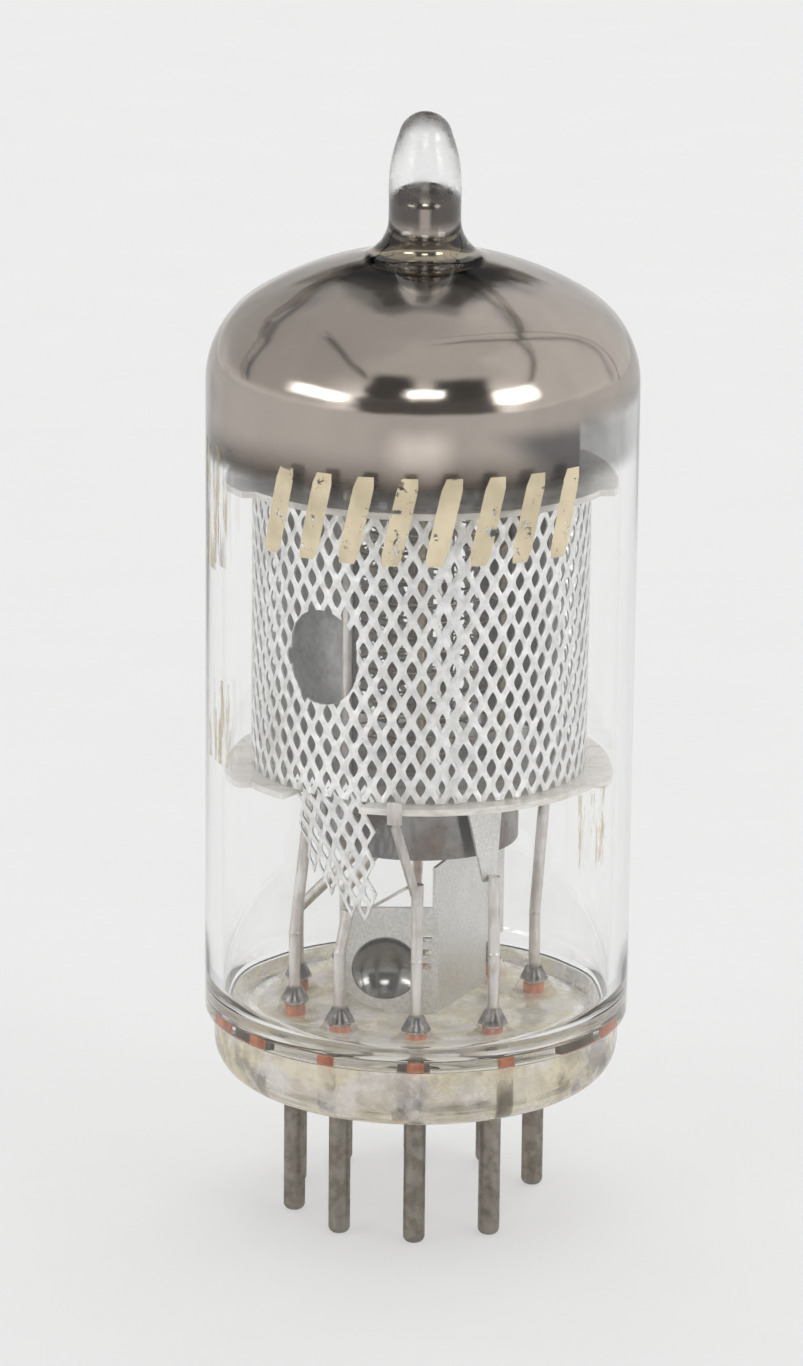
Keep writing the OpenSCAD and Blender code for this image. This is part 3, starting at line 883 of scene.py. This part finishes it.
class TUBE_OT_base(Operator):
    """Build the glass button with a bead round each lead"""

    bl_idname = "tube.base"
    bl_label = "Base glass"

    def execute(self, context):
        glass_settings = context.scene.tube_glass
        rounding = glass_settings.button_round
        side = [(BUTTON_R, FLOOR)]
        side += [(BUTTON_R, FLOOR - (FLOOR - SEAT - rounding) * i / 4) for i in range(1, 4)]
        side += arc(BUTTON_R - rounding, SEAT + rounding, rounding, 0, -math.pi / 2, 16)
        self.add_button(glass_settings, side)
        self.add_deposit(glass_settings, side)
        verts, faces = bead_films(glass_settings)
        films = new_piece("bead_films", verts, faces)
        turn_outwards(films)
        settle(films, [bead_film_material()], "base_glass")
        return {"FINISHED"}

    def add_button(self, glass_settings, side):
        """Adds the glass button: beads on its floor, and a skirt of glass round each pin below."""
        foot = foot_radius(glass_settings)
        plain_top, plain_under, steps = mm(4.55), mm(4.2), 30
        radii = [mm(r * 0.8) for r in range(0, 6)]
        radii += [plain_top + (foot - plain_top) * i / steps for i in range(steps + 1)]
        top = [(r, FLOOR) for r in radii]
        edge = side[-1][0]
        under = [(edge - (edge - plain_under) * i / 36, SEAT) for i in range(1, 37)]
        under += [(mm(r), SEAT) for r in (3.0, 2.0, 1.0, 0.0)]
        verts, faces, slots = revolve(top + side + under, 360, (len(top) - 1,))
        for v in verts:
            r = math.hypot(v.x, v.y)
            if v.z >= FLOOR - 1e-9 and r < foot:
                v.z += bead_height(glass_settings, v.x, v.y)
            elif v.z <= SEAT + 1e-9:
                v.z -= meniscus(v.x, v.y)
        base = new_piece("base_glass", verts, faces, slots, 50.0)
        turn_outwards(base)
        settle(base, (base_glass_material(glass_settings), fused_glass()), "base_glass", "glass_base")

    def add_deposit(self, glass_settings, side):
        """Adds the thin deposit on the button's side and floor."""
        shell = [(r + SKIN, z) for r, z in side[:-1]] + [(side[-1][0], side[-1][1] - SKIN)]
        shell += [(r, z) for r, z in reversed(side)]
        verts, faces, _ = revolve(shell, 180)
        floor_ring = [(mm(1.0), FLOOR + SKIN), (foot_radius(glass_settings) + FILLET_REACH, FLOOR + SKIN)]
        floor_ring += [(r, z + SKIN) for r, z in reversed(floor_ring)]
        ring_verts, ring_faces, _ = revolve(floor_ring + floor_ring[:1], 180)
        verts, faces = joined(((verts, faces), (ring_verts, ring_faces)))
        deposit = new_piece("base_deposit", verts, faces)
        turn_outwards(deposit)
        settle(deposit, [deposit_material(glass_settings)], "base_glass")


class TUBE_OT_mirror(Operator):
    """Build the evaporated getter mirror inside the dome"""

    bl_idname = "tube.mirror"
    bl_label = "Getter mirror"

    def execute(self, context):
        settings = context.scene.tube_glass
        mirror = context.scene.tube_mirror
        near = settings.wall - mirror.contact
        outer = inner_outline(settings, near, FILM_LOW - mm(0.3))
        inner = inner_outline(settings, near + mirror.film, FILM_LOW - mm(0.3))
        profile = outer + list(reversed(inner))
        verts, faces, _ = revolve(profile, settings.turns)
        film = new_piece("getter_mirror", verts, faces, None, 70.0)
        turn_outwards(film)
        settle(film, [getter_mirror_material(mirror)], "getter_mirror", "getter_film")
        return {"FINISHED"}


# steps along a quarter of a mesh opening, and how far an opening's rim is rounded off
ALMOND_STEPS = 3
RIM_ROUND = mm(0.02)


def lattice(columns, rows, wanted, place, screen):
    """Closed sheet of staggered almond openings.

    columns and rows count half cells. place turns (across, up, out), in metres, into a point, and wanted
    tells from a cell's middle whether it is kept.
    """
    step_x = screen.cell_width / 2 / ALMOND_STEPS
    step_y = screen.cell_height / 2 / ALMOND_STEPS
    half_w, half_h = screen.opening_width / 2, screen.opening_height / 2
    quarter = [(ALMOND_STEPS - k, k) for k in range(ALMOND_STEPS)]
    upper = quarter + [(-b, a) for a, b in quarter]
    ring = upper + [(-a, -b) for a, b in upper]
    verts, faces, shared, used = [], [], {}, {}
    rng = random.Random(7)

    def corner(x, y, side):
        key = (x, y, side)
        if key not in shared:
            shared[key] = len(verts)
            verts.append(place(x * step_x, y * step_y, -side * screen.sheet))
        return shared[key]

    for row in range(rows[0], rows[1]):
        for column in range(columns[0], columns[1]):
            if (row + column) % 2:
                continue
            x0, y0 = column * ALMOND_STEPS, row * ALMOND_STEPS
            if not wanted(x0 * step_x, y0 * step_y):
                continue
            size = 1 + rng.uniform(-0.05, 0.05)
            outside, inside = ([], []), ([], [])
            for dx, dy in ring:
                t = abs(dy) / ALMOND_STEPS
                ax = math.copysign(half_w * (1 - t**1.55), dx) if dx else 0.0
                ay = half_h * size * math.copysign(t, dy) if dy else 0.0
                lift = screen.relief * (1 if dy > 0 else -1) * t * 0.8
                for side in (0, 1):
                    outside[side].append(corner(x0 + dx, y0 + dy, side))
                    inside[side].append(len(verts))
                    out = -side * screen.sheet + lift + (RIM_ROUND if side else -RIM_ROUND)
                    verts.append(place(x0 * step_x + ax, y0 * step_y + ay, out))
            count = len(ring)
            for k in range(count):
                n = (k + 1) % count
                faces.append((outside[0][k], outside[0][n], inside[0][n], inside[0][k]))
                faces.append((outside[1][n], outside[1][k], inside[1][k], inside[1][n]))
                faces.append((inside[0][k], inside[0][n], inside[1][n], inside[1][k]))
                edge = (x0 + ring[k][0], y0 + ring[k][1]), (x0 + ring[n][0], y0 + ring[n][1])
                used[edge] = (outside[0][k], outside[0][n], outside[1][n], outside[1][k])
    for edge, quad in used.items():
        if (edge[1], edge[0]) not in used:
            faces.append((quad[1], quad[0], quad[3], quad[2]))
    return verts, faces


def trim(piece, z, upper):
    """Cuts the piece level at a height, keeps one side and closes the cut strands."""
    bm = bmesh.new()
    bm.from_mesh(piece.data)
    everything = list(bm.verts) + list(bm.edges) + list(bm.faces)
    bmesh.ops.bisect_plane(
        bm,
        geom=everything,
        plane_co=(0, 0, z),
        plane_no=(0, 0, 1),
        dist=1e-7,
        clear_outer=upper,
        clear_inner=not upper,
    )
    rim = [e for e in bm.edges if e.is_boundary]
    bmesh.ops.holes_fill(bm, edges=rim, sides=0)
    bm.to_mesh(piece.data)
    bm.free()


class TUBE_OT_screen(Operator):
    """Build the expanded-mesh screen with its lapped seam, sight window and hanging tongue"""

    bl_idname = "tube.screen"
    bl_label = "Mesh screen"

    def execute(self, context):
        screen = context.scene.tube_screen
        outer_r = high("mesh_screen").x
        roll_r = outer_r - screen.relief
        lap = math.radians(screen.lap_high - screen.lap_low)
        turn = (2 * math.pi + lap) * roll_r
        columns = int(turn / screen.cell_width * 2)
        z_low, z_high = MICA_LOW, MICA_HIGH
        rows = int((z_high - z_low) / screen.cell_height * 2) + 3
        dip = screen.sheet + screen.relief
        dip_length = mm(3.2)

        def on_roll(across, up, out):
            under = min(1.0, max(0.0, 1 - across / dip_length))
            radius = roll_r + out - dip * under * under * (3 - 2 * under)
            return around(radius, screen.lap_low + math.degrees(across / roll_r), z_low + up)

        verts, faces = lattice((1, columns), (-1, rows), lambda x, y: True, on_roll, screen)
        sheet = new_piece("screen_mesh", verts, faces, None, 60.0)
        trim(sheet, z_low + mm(0.02), False)
        trim(sheet, z_high - mm(0.02), True)
        self.cut_window(sheet, screen, (z_low + z_high) / 2 - mm(0.2))
        self.add_tongue(sheet, screen, outer_r)
        turn_outwards(sheet)
        sheet.data.polygons.foreach_set("use_smooth", [True] * len(sheet.data.polygons))
        sheet.data.set_sharp_from_angle(angle=math.radians(60))
        settle(sheet, [mesh_material(screen)], "mesh_metal", "mesh_screen")
        return {"FINISHED"}

    def cut_window(self, sheet, screen, centre_z):
        """Removes the mesh inside an upright stadium."""
        half = screen.window_width / 2
        straight = (screen.window_height - screen.window_width) / 2
        outline = arc(0, straight, half, 0, math.pi, 14) + arc(0, -straight, half, math.pi, 2 * math.pi, 14)
        turn = math.radians(screen.window_degrees)
        right = Vector((math.cos(turn), math.sin(turn), 0))
        verts = []
        for depth in (mm(5), mm(12)):
            middle = around(depth, screen.window_degrees, centre_z)
            verts += [middle + right * x + Vector((0, 0, z)) for x, z in outline]
        count = len(outline)
        faces = [tuple(range(count)), tuple(range(2 * count - 1, count - 1, -1))]
        faces += [(k, count + k, count + (k + 1) % count, (k + 1) % count) for k in range(count)]
        cutter = new_piece("window_cutter", verts, faces)
        turn_outwards(cutter)
        cut = sheet.modifiers.new("window", "BOOLEAN")
        cut.operation = "DIFFERENCE"
        cut.object = cutter
        cut.solver = "EXACT"
        graph = bpy.context.evaluated_depsgraph_get()
        result = bpy.data.meshes.new_from_object(sheet.evaluated_get(graph))
        sheet.modifiers.clear()
        sheet.data = result
        bpy.data.objects.remove(cutter)

    def add_tongue(self, sheet, screen, outer_r):
        """Adds the mesh tongue that hangs from the screen and leans in to the lead it is welded to."""
        width, at, twist = screen.tongue_width, screen.tongue_degrees, screen.tongue_twist
        top = MICA_LOW + mm(0.3)
        foot = FLOOR + screen.tongue_foot
        lean = outer_r - mm(0.2) - PIN_CIRCLE - LEAD_R
        run = math.hypot(lean, top - foot)
        outward = around(1.0, at)
        down = (Vector((0, 0, foot - top)) - outward * lean).normalized()
        normal = around(1.0, at + 90).cross(down)
        normal = normal if normal.dot(outward) > 0 else -normal
        start = around(outer_r - mm(0.1), at, top + mm(1.3))
        bend = mm(1.3)

        def on_tongue(across, up, out):
            reach = -up
            turned = twist * min(1.0, max(0.0, (reach - bend) / (run * 0.6)))
            right = around(1.0, at + 90 + turned)
            if reach < bend:
                base = start + Vector((0, 0, -reach)) + outward * out
            else:
                base = start + Vector((0, 0, -bend)) + down * (reach - bend) + normal * out
            curl = across * across / outer_r / 2
            return base + right * across - outward * curl

        def inside(across, up):
            t = (-up - bend) / run
            if t > 1.0 or -up < mm(1.2):
                return False
            slant = 0.74 + 0.26 * (across / width + 0.5)
            return -width / 2 - mm(0.9) * max(0.0, t) <= across <= width / 2 and t <= slant

        reach_rows = int((run + bend) / screen.cell_height * 2) + 1
        span = int(width / screen.cell_width) + 2
        verts, faces = lattice((-span, span), (-reach_rows, 1), inside, on_tongue, screen)
        tongue = new_piece("tongue", verts, faces, None, 60.0)
        bm = bmesh.new()
        bm.from_mesh(sheet.data)
        bm.from_mesh(tongue.data)
        bm.to_mesh(sheet.data)
        bm.free()
        bpy.data.objects.remove(tongue)


def curved_patch(outline, radius, thickness, across_steps=6):
    """Thin closed patch that lies on the bulb. Each row of outline is a left edge, right edge and height."""
    verts, faces = [], []
    rows = len(outline)
    wide = across_steps + 1
    for layer in (0, 1):
        for left, right, z in outline:
            for i in range(wide):
                x = left + (right - left) * i / across_steps
                verts.append(around(radius + layer * thickness, math.degrees(x / radius), z))
    half = rows * wide
    for j in range(rows - 1):
        for i in range(across_steps):
            a = j * wide + i
            quad = (a, a + 1, a + wide + 1, a + wide)
            faces.append(tuple(v + half for v in quad))
            faces.append(tuple(reversed(quad)))
    rim = [i for i in range(wide)]
    rim += [j * wide + across_steps for j in range(1, rows)]
    rim += [(rows - 1) * wide + i for i in range(across_steps - 1, -1, -1)]
    rim += [j * wide for j in range(rows - 2, 0, -1)]
    for k, a in enumerate(rim):
        b = rim[(k + 1) % len(rim)]
        faces.append((a, b, b + half, a + half))
    return verts, faces


def joined(parts):
    """Several (verts, faces) as one."""
    verts, faces = [], []
    for part_verts, part_faces in parts:
        start = len(verts)
        verts += part_verts
        faces += [tuple(i + start for i in f) for f in part_faces]
    return verts, faces


# the smears of old ink: angle, and width, lowest and highest point in millimetres
SMEARS = ((-72, 3.4, 31.5, 37.4), (-70, 3.8, 22.5, 26.5), (53, 2.2, 18.2, 22.0))


class TUBE_OT_mark(Operator):
    """Print a plain row of slanted bars, and the smears beside it, on the bulb"""

    bl_idname = "tube.mark"
    bl_label = "Printed mark"

    def execute(self, context):
        mark = context.scene.tube_mark
        radius = BULB_R + mm(0.003)
        parts = []
        rows = 9
        for k in range(mark.bars):
            middle = (k - (mark.bars - 1) / 2) * mark.pitch
            outline = []
            for j in range(rows):
                up = j / (rows - 1) - 0.5
                shift = middle + mark.lean * up * mark.bar_height
                round_off = 1 - 0.25 * abs(2 * up) ** 10
                half = mark.bar_width / 2 * round_off
                outline.append((shift - half, shift + half, mark.centre_z + up * mark.bar_height))
            parts.append(curved_patch(outline, radius, mm(0.008)))
        verts, faces = joined(parts)
        bars = new_piece("printed_bars", verts, faces)
        turn_outwards(bars)
        settle(bars, [ink_material(mark)], "bulb_glass")
        smears = []
        for degrees, wide, bottom, top in SMEARS:
            middle = math.radians(degrees) * radius
            levels = [mm(bottom + (top - bottom) * j / 8) for j in range(9)]
            outline = [(middle - mm(wide) / 2, middle + mm(wide) / 2, z) for z in levels]
            smears.append(curved_patch(outline, radius, mm(0.005), 10))
        verts, faces = joined(smears)
        streaks = new_piece("ink_smears", verts, faces)
        turn_outwards(streaks)
        settle(streaks, [smear_material(mark)], "bulb_glass")
        return {"FINISHED"}


class TUBE_OT_finishes(Operator):
    """Give every node that stays its finish"""

    bl_idname = "tube.finishes"
    bl_label = "Finishes"

    def execute(self, context):
        made = {}
        for row in frame["record"]["subparts"]:
            slot = row["material_slot"]
            if slot not in FINISHES:
                continue
            if slot not in made:
                made[slot] = FINISHES[slot]()
            node = frame["nodes"][row["node"]]
            if node.hide_render:
                continue
            node.data.materials.clear()
            own = OWN_FINISHES.get(row["node"])
            node.data.materials.append(own() if own else made[slot])
        return {"FINISHED"}


# ---------------------------------------------------------------- stage


def tent_span(s, off, reach, soft):
    """Mask of where a distance from a middle is within reach, with a soft border."""
    return s.smooth(s.math("ABSOLUTE", off), reach, reach + soft, 1.0, 0.0)


def tent_patch(s, turn, rise, middle, half, soft):
    """Mask of a soft rectangle on the tent: its middle, half size and border as (turn, rise), in degrees."""
    off = s.math("WRAP", s.math("SUBTRACT", turn, middle[0]), 180.0, -180.0)
    above = s.math("SUBTRACT", rise, middle[1])
    return s.times(tent_span(s, off, half[0], soft[0]), tent_span(s, above, half[1], soft[1]))


def tent_seam(s, direction, normal, turn, start, end):
    """Mask of a thin straight seam of the tent, in the plane with that normal, between two angles."""
    node = s.add("ShaderNodeVectorMath", operation="DOT_PRODUCT")
    s.plug(direction, node.inputs[0])
    s.plug(Vector(normal).normalized(), node.inputs[1])
    near = s.smooth(s.math("ABSOLUTE", node.outputs["Value"]), 0.011, 0.028, 1.0, 0.0)
    off = s.math("WRAP", s.math("SUBTRACT", turn, (start + end) / 2), 180.0, -180.0)
    return s.times(near, tent_span(s, off, (end - start) / 2, 2))


def tent_fold(s, turn, rise, start, end):
    """Mask of a thin fold of the tent from one (turn, rise) to another, in degrees."""
    run, climb = end[0] - start[0], end[1] - start[1]
    x = s.math("SUBTRACT", turn, start[0])
    y = s.math("SUBTRACT", rise, start[1])
    dot = s.math("ADD", s.times(x, run), s.times(y, climb))
    along = s.math("DIVIDE", dot, run * run + climb * climb, clamp=True)
    off_x = s.math("SUBTRACT", x, s.times(along, run))
    off_y = s.math("SUBTRACT", y, s.times(along, climb))
    square = s.math("ADD", s.times(off_x, off_x), s.times(off_y, off_y))
    return s.smooth(s.math("SQRT", square), 1.2, 2.7, 1.0, 0.0)


LINE_DARKNESS = 0.94


def tent_world(stage):
    """Pale light tent: a dim roof, brighter low walls, dark seams and the dark opening behind."""
    world = bpy.data.worlds.new("Light tent")
    world.use_nodes = True
    bpy.context.scene.world = world
    s = Shader(world.node_tree)
    s.nodes.clear()
    direction = s.add("ShaderNodeTexCoord").outputs["Generated"]
    axes = s.split(direction)
    ragged = s.math("MULTIPLY_ADD", s.noise(direction, 9.0, 3.0), 8.0, -4.0)
    turn = s.math("ADD", s.degrees(axes), ragged)
    rise = s.math("MULTIPLY_ADD", s.math("ARCSINE", axes[2]), 180 / math.pi, s.times(ragged, 0.5))
    level = s.smooth(rise, 8.0, 45.0, 0.95, 0.43)
    # each patch: its middle, half size and soft border as (turn, rise) in degrees, and its brightness
    patches = (
        ((-125, 40), (60, 32), (30, 18), 0.36),
        ((120, 30), (55, 26), (20, 12), 0.53),
        ((180, 40), (14, 18), (3, 4), 0.06),
        ((-20, 30), (9, 12), (8, 8), 0.05),
        ((24, 20), (14, 17), (7, 9), 0.05),
        ((2, 5), (34, 9), (12, 6), 0.08),
        ((-60, 14), (6, 2.5), (17, 4.5), 4.0),
        ((0, 25), (8, 2.0), (5, 4.0), 3.5),
        ((54, 16), (8, 5), (6, 4), 3.5),
    )
    for middle, half, soft, value in patches:
        mask = tent_patch(s, turn, rise, middle, half, soft)
        level = s.math("ADD", s.times(level, s.math("SUBTRACT", 1.0, mask)), s.times(mask, value))
    # each seam: the normal of its plane, and the turns it runs between
    seams = (
        ((0.81, 0.28, -0.515), 124, 176),
        ((0.571, 0.657, -0.492), 66, 124),
        ((-0.597, 0.802, 0.017), 118, 134),
        ((0.862, -0.115, 0.494), -122, -38),
    )
    lines = [tent_seam(s, direction, normal, turn, start, end) for normal, start, end in seams]
    fold = ((-112, 5), (-124, 30), (-154, 34), (-172, 26))
    lines += [tent_fold(s, turn, rise, start, end) for start, end in zip(fold, fold[1:])]
    for mask in lines:
        level = s.times(level, s.math("MULTIPLY_ADD", mask, -LINE_DARKNESS, 1.0))
    back = s.add("ShaderNodeBackground")
    s.plug(s.times(level, stage.sky), back.inputs["Strength"])
    s.plug((1.0, 0.995, 0.985), back.inputs["Color"])
    output = s.add("ShaderNodeOutputWorld")
    s.links.new(back.outputs[0], output.inputs[0])


def overhead_light(power):
    """Square soft light above and a little behind the tube, which shows in no reflection."""
    data = bpy.data.lights.new("overhead", "AREA")
    data.shape = "SQUARE"
    data.size = 0.8
    data.energy = power
    lamp = bpy.data.objects.new("overhead", data)
    bpy.context.scene.collection.objects.link(lamp)
    elevation, reach = math.radians(76), 1.2
    target = Vector((0, 0, mm(30)))
    lamp.location = target + around(reach * math.cos(elevation), 180, reach * math.sin(elevation))
    lamp.rotation_mode = "QUATERNION"
    lamp.rotation_quaternion = (target - lamp.location).to_track_quat("-Z", "Y")
    lamp.visible_glossy = False
    lamp.visible_transmission = False


class TUBE_OT_stage(Operator):
    """Lay the pale floor, hang the soft light in its tent and set the camera"""

    bl_idname = "tube.stage"
    bl_label = "Stage"

    def execute(self, context):
        stage = context.scene.tube_stage
        half = 3.0
        verts = [(-half, -half, 0), (half, -half, 0), (half, half, 0), (-half, half, 0)]
        mesh = bpy.data.meshes.new("floor")
        mesh.from_pydata(verts, [], [(0, 1, 2, 3)])
        floor = bpy.data.objects.new("floor", mesh)
        context.scene.collection.objects.link(floor)
        floor.location.z = -mm(0.02)
        material, s = new_material("Pale floor")
        mottle = s.noise(s.place(), 90.0, 4.0)
        pale = stage.floor_colour
        darker = [value * 0.975 for value in pale]
        s.feed("Base Color", s.mix(s.smooth(mottle, 0.3, 0.7), darker, pale))
        s.feed("Roughness", 0.85)
        s.feed("Specular IOR Level", 0.2)
        s.feed("Emission Color", (1.0, 1.0, 1.0))
        s.feed("Emission Strength", stage.floor_glow)
        mesh.materials.append(material)
        tent_world(stage)
        overhead_light(stage.overhead)
        self.add_camera(context, stage)
        context.scene.view_settings.view_transform = "Standard"
        return {"FINISHED"}

    def add_camera(self, context, stage):
        """Camera in front, a little above, rolled by a fraction of a degree."""
        data = bpy.data.cameras.new("camera")
        data.lens = stage.lens
        data.sensor_width = 36.0
        data.clip_start = 0.01
        data.clip_end = 20.0
        camera = bpy.data.objects.new("camera", data)
        context.scene.collection.objects.link(camera)
        e = math.radians(stage.elevation)
        target = Vector((mm(-0.84), 0, mm(25.33)))
        forward = Vector((0, math.cos(e), -math.sin(e)))
        right = Vector((1, 0, 0))
        up = right.cross(forward)
        roll = math.radians(stage.roll)
        image_right = right * math.cos(roll) + up * math.sin(roll)
        image_up = up * math.cos(roll) - right * math.sin(roll)
        turn = Matrix((image_right, image_up, -forward)).transposed()
        camera.rotation_mode = "QUATERNION"
        camera.rotation_quaternion = turn.to_quaternion()
        camera.location = target - forward * stage.distance
        context.scene.camera = camera


# ---------------------------------------------------------------- panel and registration

STEPS = ("bulb", "base", "mirror", "screen", "mark", "finishes", "stage")


class TUBE_PT_panel(Panel):
    """Steps of the tube, in order"""

    bl_idname = "TUBE_PT_panel"
    bl_label = "Vacuum tube"
    bl_space_type = "VIEW_3D"
    bl_region_type = "UI"
    bl_category = "Tube"

    def draw(self, context):
        for step in STEPS:
            self.layout.operator("tube." + step)
        for settings in SETTINGS:
            box = self.layout.box()
            owner = getattr(context.scene, settings)
            for name in SETTINGS[settings].__annotations__:
                box.prop(owner, name)


SETTINGS = {
    "tube_glass": TubeGlassSettings,
    "tube_mirror": TubeMirrorSettings,
    "tube_screen": TubeScreenSettings,
    "tube_mark": TubeMarkSettings,
    "tube_stage": TubeStageSettings,
}

CLASSES = (
    *SETTINGS.values(),
    TUBE_OT_bulb,
    TUBE_OT_base,
    TUBE_OT_mirror,
    TUBE_OT_screen,
    TUBE_OT_mark,
    TUBE_OT_finishes,
    TUBE_OT_stage,
    TUBE_PT_panel,
)


def register():
    for cls in CLASSES:
        bpy.utils.register_class(cls)
    for name, cls in SETTINGS.items():
        setattr(bpy.types.Scene, name, PointerProperty(type=cls))


def unregister():
    for name in SETTINGS:
        delattr(bpy.types.Scene, name)
    for cls in reversed(CLASSES):
        bpy.utils.unregister_class(cls)


def main():
    """Builds everything in order."""
    register()
    for step in STEPS:
        getattr(bpy.ops.tube, step)()


if __name__ == "__main__":
    main()
